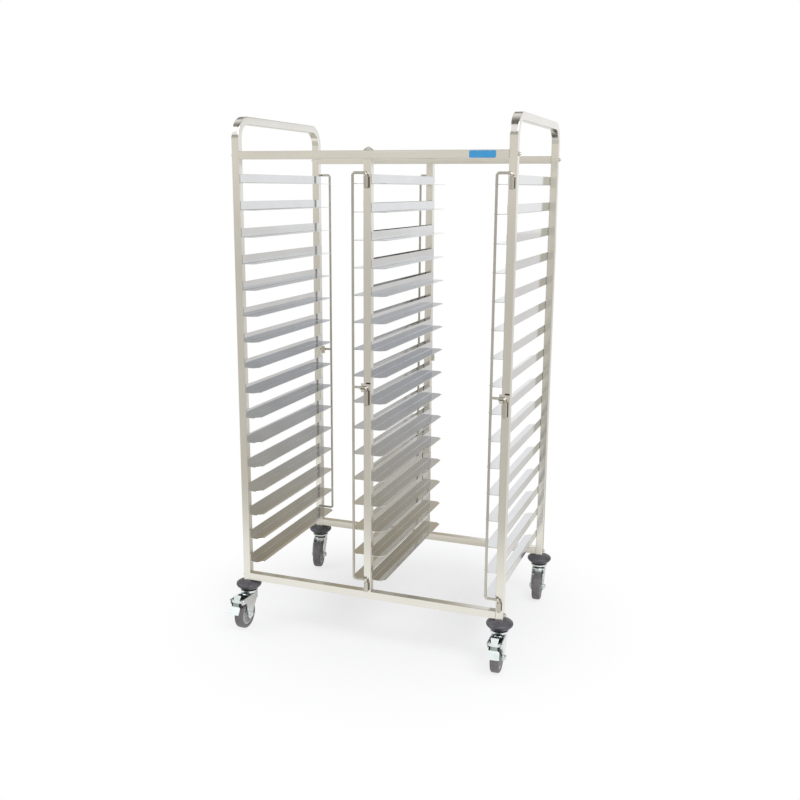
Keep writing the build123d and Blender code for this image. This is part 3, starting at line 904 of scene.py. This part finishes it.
def fork(braked):
    """A fork about its kingpin: a crown with a round skirt behind, and two legs."""
    crown = bmesh.new()
    flap_foot = crown_high - 11
    inner_bend = crown_bend - leg_outer + leg_inner
    profile = [
        (-leg_outer, flap_foot),
        *reversed(arc((-leg_outer + crown_bend, crown_high - crown_bend), crown_bend, 90, 180, 6)),
        *reversed(arc((leg_outer - crown_bend, crown_high - crown_bend), crown_bend, 0, 90, 6)),
        (leg_outer, flap_foot), (leg_inner, flap_foot),
        *arc((leg_inner - inner_bend, crown_low - inner_bend), inner_bend, 0, 90, 3),
        *arc((-leg_inner + inner_bend, crown_low - inner_bend), inner_bend, 90, 180, 3),
        (-leg_inner, flap_foot),
    ]
    along_trail = Matrix(((1, 0, 0, 0), (0, 0, -1, 0), (0, 1, 0, 0), (0, 0, 0, 1)))
    slab(crown, profile, -skirt_outer, skirt_inner, along_trail)
    skirt = bmesh.new()
    lathe(skirt, [
        (skirt_inner, skirt_low), (skirt_outer, skirt_low), (skirt_outer, crown_high - 1.5),
        (skirt_outer - 1.5, crown_high), (skirt_inner, crown_high),
    ], 72, closed=True)
    made = combine(crown, skirt, "UNION")
    plan = bmesh.new()
    start = math.degrees(math.asin(round_from / skirt_outer))
    slab(plan, [
        (-leg_outer, -40), (leg_outer, -40), *arc((0, 0), skirt_outer, start, 180 - start, 20),
    ], 80, 125)
    made = combine(made, plan, "INTERSECT")
    boss = arc((caster_trail, axle_height), boss_radius, 0, -180, 16)
    if braked:
        front = [
            (24, 110), (25.5, 114), (29, 115.6), (93, 121), (95.4, 120.2), (96, 118.4), (91, 104.2),
            (89, 102.8), (61, 98.4), (58, 96), (57, 92), (56.5, 76),
        ]
    else:
        front = [(24, 110), (27, 111), (29, 106), (46, 92), (51.5, 80), (53, 70)]
    outline = front + boss + [(10, 66), (-9, 89.6), (-12.5, 97), (-14, 104), (-14, 110)]
    for low, high in ((leg_inner, leg_outer), (-leg_outer, -leg_inner)):
        leg = bmesh.new()
        slab(leg, outline, low, high, across_fork)
        made = combine(made, leg, "UNION")
    if not braked:
        bridge = bmesh.new()
        sloped = Matrix.Rotation(math.atan2(3, 9), 4, "X")
        place = Matrix.Translation((0, -skirt_inner, crown_high)) @ sloped @ Matrix(
            ((1, 0, 0, 0), (0, 0, 1, 0), (0, 1, 0, 0), (0, 0, 0, 1))
        )
        slab(bridge, [
            (-21, 0), (21, 0), (21, -23), (19, -21), (17.2, -17.4), (15, -14), (12, -12.6),
            (-12, -12.6), (-15, -14), (-17.2, -17.4), (-19, -21), (-21, -23),
        ], 0, 3, place)
        made = combine(made, bridge, "UNION")
    bmesh.ops.remove_doubles(made, verts=made.verts, dist=0.02)
    soften(made, 0.45, 2, 40)
    return made


fork_meshes = {}
for braked in (True, False):
    shape = fork(braked)
    fork_meshes[braked] = bpy.data.meshes.new("fork")
    shape.to_mesh(fork_meshes[braked])
    shape.free()
for name in casters:
    shape = bmesh.new()
    shape.from_mesh(fork_meshes[name.startswith("front")])
    shape.transform(caster_matrix(name))
    place_piece(
        f"{name}_pressed_fork", shape, bright_zinc, f"{name}_swivel", "zinc_plate", f"{name}_fork",
    )
for mesh in fork_meshes.values():
    bpy.data.meshes.remove(mesh)

# Axles: a zinc-plated bolt through the legs, with spacers beside the hub, a hexagonal
# head on the left, and a washer and a lock nut on the right.
bolt_radius, spacer_radius, washer_outer = 6, 9, 9.4
head_flats, head_height, nut_flats, nut_height = 16, 4.9, 15, 5.4
wheel_place = Matrix.Translation((0, -caster_trail, axle_height)) @ Matrix.Rotation(math.pi / 2, 4, "Y")
for name in casters:
    shape = bmesh.new()
    place = caster_matrix(name) @ wheel_place
    flipped = place @ Matrix.Rotation(math.pi, 4, "X")
    lathe(shape, [
        (0, -leg_outer), (bolt_radius, -leg_outer), (bolt_radius, leg_outer), (0, leg_outer),
    ], 32, place)
    for way in (place, flipped):
        lathe(shape, [
            (0, 13.3), (spacer_radius - 0.6, 13.3), (spacer_radius, 13.9), (spacer_radius, 19.4),
            (spacer_radius - 0.4, leg_inner), (0, leg_inner),
        ], 32, way)
    nut_seat = leg_outer + 1.2
    lathe(shape, [
        (0, leg_outer), (washer_outer, leg_outer), (washer_outer, nut_seat - 0.4),
        (washer_outer - 0.4, nut_seat), (0, nut_seat),
    ], 32, place)
    hexagon_nut(shape, nut_flats, nut_seat, nut_seat + nut_height, place)
    lathe(shape, [(0, 29.4), (5.6, 29.4), (5.4, 30.6), (4.2, 31), (0, 31)], 24, place)
    hexagon_nut(shape, head_flats, leg_outer, leg_outer + head_height, flipped)
    place_piece(f"{name}_axle_bolt", shape, bright_zinc, f"{name}_swivel", "zinc_plate", f"{name}_axle")

# Tyres and hubs: grey thermoplastic rubber with round shoulders, moulded on a hub of
# light grey polypropylene. The hub has a rim, a thin web with ribs and a thick middle.
half_width, tyre_radius = 15, 50
shoulder = 6.5
rib_count, rib_half = 8, 1.1
# Moulded grey rubber, worn by the floor: warm grey, matt and patchy with dust.
tyre_rubber = rubber("tyre_rubber_grey_worn", ("#6a6668", "#7e797b"), (0.42, 0.58), 1.5, 0.3)
# Moulded polypropylene: pale grey with a waxy sheen.
hub_plastic = rubber("hub_polypropylene_moulded", ("#bfc0bd", "#cfd0ce"), (0.38, 0.5), 1.0, 0.12)
for name in casters:
    place = caster_matrix(name) @ wheel_place
    shape = bmesh.new()
    side = arc((half_width - shoulder, tyre_radius - shoulder - 0.15), shoulder, 90, 0, 7)
    right_side = [(radius, along) for along, radius in side]
    right_side += [(40, 14.9), (39, 14.3), (37.4, 13.9), (36.2, 13.2)]
    left_side = [(radius, -along) for radius, along in reversed(right_side)]
    lathe(shape, left_side + [(tyre_radius, -4), (tyre_radius, 4)] + right_side, 96, place, closed=True)
    place_piece(
        f"{name}_moulded_tyre", shape, tyre_rubber, f"{name}_wheel", "tyre_rubber", f"{name}_tyre",
        crease=40,
    )
    shape = bmesh.new()
    half = [
        (12.2, 12.9), (12.9, 12.4), (13.6, 8), (14.4, 6), (16, 5), (29, 4.4), (30.8, 5.2), (31.6, 7),
        (32, 12.2), (32.6, 12.9), (35.6, 12.9), (36.1, 12.4),
    ]
    bore = [(6.1, 12.4), (6.6, 12.9)]
    mirrored_half = [(radius, -along) for radius, along in bore + half]
    lathe(shape, mirrored_half + list(reversed(bore + half)), 96, place, closed=True)
    for rib in range(rib_count):
        turned = place @ Matrix.Rotation(math.tau * (rib + 0.5) / rib_count, 4, "Z")
        for way in (turned, turned @ Matrix.Rotation(math.pi, 4, "X")):
            rib_shape = [(12.6, 3), (32.2, 3), (32.2, 10.4), (24, 9.2), (13, 10.8)]
            stand = Matrix(((1, 0, 0, 0), (0, 0, 1, 0), (0, 1, 0, 0), (0, 0, 0, 1)))
            slab(shape, rib_shape, -rib_half, rib_half, way @ stand)
    place_piece(f"{name}_moulded_hub", shape, hub_plastic, f"{name}_wheel", "hub_plastic", f"{name}_hub")

# Brake pedals of the front casters: one plate bent from 2.4 mm plated steel, with a
# release tab, a bar, a narrow neck and a wide foot plate. It has two cheeks on a riveted
# pin, and a rubber shoe that it presses on the tyre. A leaf spring lies behind it. The
# spring's black and a black block behind the neck paint the shade in the gaps there.
pin_place = (80, 111)
pin_radius, rivet_radius = 4, 6.4
pedal_sheet = 2.4
pedal_top = 133
pedal_line = rounded([(80, pedal_top), (88, 116), (97, 95), (117, 78)], 5, 5)
# The plate's outline from the top down: heights, each with half the width there.
pedal_widths = (
    (pedal_top, 12.5), (131.6, 12.9), (118.5, 11), (117, 10.7), (116.2, 11.6), (115.9, 16.6),
    (115.2, 17.8), (114.4, 18), (111.6, 18), (110.6, 17.7), (110, 16.6), (109.7, 12.4), (109, 11.3),
    (107.8, 11), (101.6, 11), (99.6, 11.6), (98, 13), (96.6, 15.6), (95.2, 17.6), (92, 18.6),
    (80, 20.3), (78.8, 20.2), (78, 19.4),
)
neck_low, neck_high = 99, 109.8
shoe_thickness, shoe_length = 6, 19.4
to_axle = math.atan2(axle_height - pin_place[1], caster_trail - pin_place[0])
shoe_angle = to_axle + math.radians(25)
# Zinc plate, rubbed satin by shoes, without a clear mirror; its near-white tone is a painted highlight on
# the pedal.
satin_zinc_highlight = zinc("steel_zinc_satin_painted_highlight", ("#e2efec", "#eef4f5", "#eaecf1"), (0.5, 0.62))
# Passivated zinc in the pedal's fold at its neck: a darker grey green, whose darkness is painted shade.
neck_zinc_shade = zinc("steel_zinc_green_painted_shade", ("#93aaa0", "#a7bab2", "#b4c2be"), (0.3, 0.42))
# Brake rubber: dull black. Its block behind the neck is painted shade, a dark gap under the pedal.
brake_rubber_and_shade = rubber("brake_rubber_black_painted_shade", ("#141414", "#222221"), (0.5, 0.65), 1, 0.2)
# Spring steel, near black with a faint sheen: its black paints the shade under the crown.
spring_shade_black = metal("spring_steel_black_painted_shade", ("#2b2f2d", "#3f4441"), (0.3, 0.45), 3, 0.4, 0.2)
for name in ("front_left", "front_right"):
    place = caster_matrix(name)
    shape = bmesh.new()
    stations = []
    for height, half in pedal_widths:
        for index in range(len(pedal_line) - 1):
            first, second = pedal_line[index], pedal_line[index + 1]
            if second.y <= height <= first.y:
                break
        share = (first.y - height) / max(first.y - second.y, 1e-6)
        middle = first.lerp(second, share)
        along = (second - first).normalized()
        ring = [
            place @ Vector((a, -(middle.x - along.y * b), middle.y + along.x * b))
            for a, b in rounded_rectangle(2 * half, pedal_sheet, 0.7, 2)
        ]
        stations.append((ring, pedal_top - height))
    sweep(shape, stations)
    cheek = [
        *arc(pin_place, 8, 250, 100, 12), (83, 118.8), (87.4, 117), (90.4, 110), (86, 105.2),
    ]
    for low, high in ((15.5, 18), (-18, -15.5)):
        one = bmesh.new()
        slab(one, cheek, low, high, place @ across_fork)
        add_softened(shape, one, 0.4)
    # The neck's faces take the darker zinc: painted shade.
    for face in shape.faces:
        if neck_low < face.calc_center_median().z < neck_high:
            face.material_index = 1
    place_piece(
        f"{name}_bent_pedal", shape, [satin_zinc_highlight, neck_zinc_shade],
        f"{name}_brake", "zinc_plate", f"{name}_brake_pedal", crease=35,
    )
    shoe = bmesh.new()
    at_pin = place @ across_fork @ Matrix.Translation((pin_place[0], pin_place[1], 0))
    shoe_place = at_pin @ Matrix.Rotation(shoe_angle, 4, "Z") @ Matrix.Translation((14.7, 0, 0))
    shoe_outline = rounded_rectangle(shoe_length, shoe_thickness, 1.2, 2)
    slab(shoe, shoe_outline, -15.6, 15.6, shoe_place)
    # A black block behind the neck, which paints the shade in the gap under the pedal.
    block = [
        (80, 109), (86.6, 109.2), (89.5, 108), (92.2, 100.6), (93.6, 96.6), (91.4, 95.4), (84, 101),
    ]
    slab(shoe, block, -17.2, 17.2, place @ across_fork)
    place_piece(
        f"{name}_brake_shoe_and_shade_block", shoe, brake_rubber_and_shade, f"{name}_brake", "bumper_rubber", f"{name}_brake_pedal",
    )
    pin = bmesh.new()
    lathe(pin, [
        (0, -leg_outer), (pin_radius, -leg_outer), (pin_radius, leg_outer), (0, leg_outer),
    ], 24, at_pin)
    for way in (at_pin, at_pin @ Matrix.Rotation(math.pi, 4, "X")):
        lathe(pin, [
            (0, 22.8), (rivet_radius, 22.8), (rivet_radius, 23.6), (5.6, 24.8), (3.6, 25.7), (0, 26),
        ], 28, way)
    place_piece(
        f"{name}_pedal_rivet", pin, bright_zinc, f"{name}_swivel", "zinc_plate", f"{name}_brake_pin",
    )
    spring = bmesh.new()
    leaf = [(20, 111.4), (70, 109.4), (70, 108), (20, 110)]
    slab(spring, leaf, -17, 17, place @ across_fork)
    for rung in (34, 44, 54, 64):
        slat = [(rung - 1.6, 109.6), (rung + 1.6, 109.5), (rung + 1.4, 112), (rung - 1.4, 112)]
        slab(spring, slat, -17, 17, place @ across_fork)
    place_piece(f"{name}_lock_spring_shade", spring, spring_shade_black, f"{name}_swivel", "zinc_plate")
